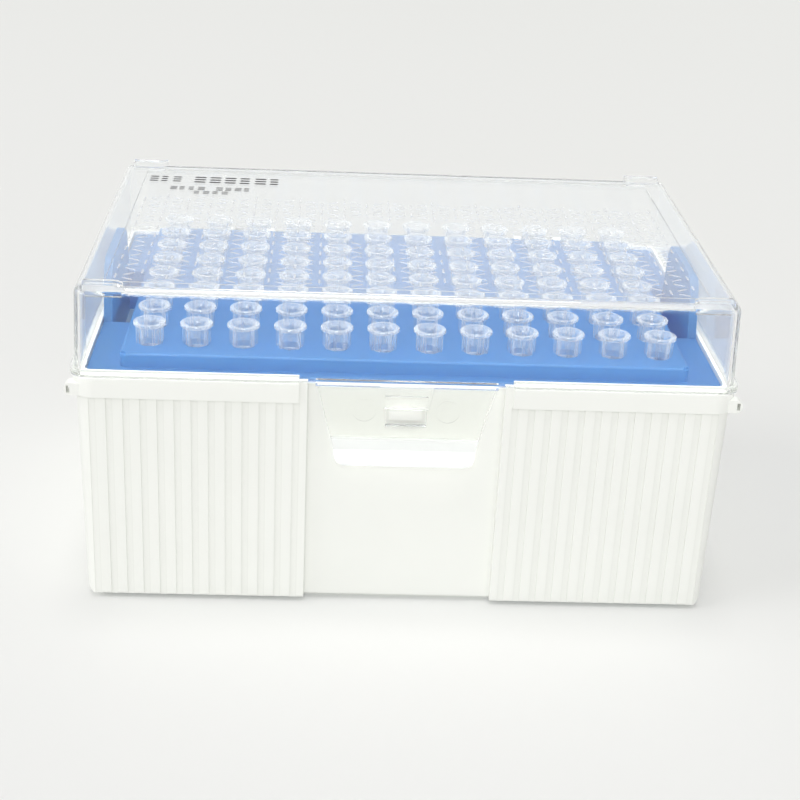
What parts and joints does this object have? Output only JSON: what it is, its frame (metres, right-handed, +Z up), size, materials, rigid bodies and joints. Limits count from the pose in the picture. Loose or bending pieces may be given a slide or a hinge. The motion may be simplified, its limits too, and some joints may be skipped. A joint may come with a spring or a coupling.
{
  "type": "box of pipette tips",
  "caption": "Flat-topped laboratory box of long filter tips: ribbed white base with a latch recess, blue tip tray with lifting ears, and a clear hinged lid with a front latch tab.",
  "frame": {"origin": "on the table, under the middle of the box", "axes": "+Z up, the latch tab faces -Y, the hinge is at +Y, +X along the box's length to the right seen from the latch"},
  "size_m": [0.1294, 0.0906, 0.0667],
  "materials": {
    "base": "satin",
    "tray": "satin",
    "lid": "polished",
    "tips": "polished",
    "filters": "matte"
  },
  "bodies": {
    "box": {"base": "base", "tray": "tray", "tips_column_01": "tips", "tips_column_02": "tips", "tips_column_03": "tips", "tips_column_04": "tips", "tips_column_05": "tips", "tips_column_06": "tips", "tips_column_07": "tips", "tips_column_08": "tips", "tips_column_09": "tips", "tips_column_10": "tips", "tips_column_11": "tips", "tips_column_12": "tips", "filters_column_01": "filters", "filters_column_02": "filters", "filters_column_03": "filters", "filters_column_04": "filters", "filters_column_05": "filters", "filters_column_06": "filters", "filters_column_07": "filters", "filters_column_08": "filters", "filters_column_09": "filters", "filters_column_10": "filters", "filters_column_11": "filters", "filters_column_12": "filters"},
    "cover": {"lid": "lid"}
  },
  "joints": [
    {"name": "lid_hinge", "type": "hinge", "parent": "box", "child": "cover", "pos_m": [0, 0.04413, 0.0488], "axis": [-1, 0, 0], "range_deg": [0, 110]}
  ]
}
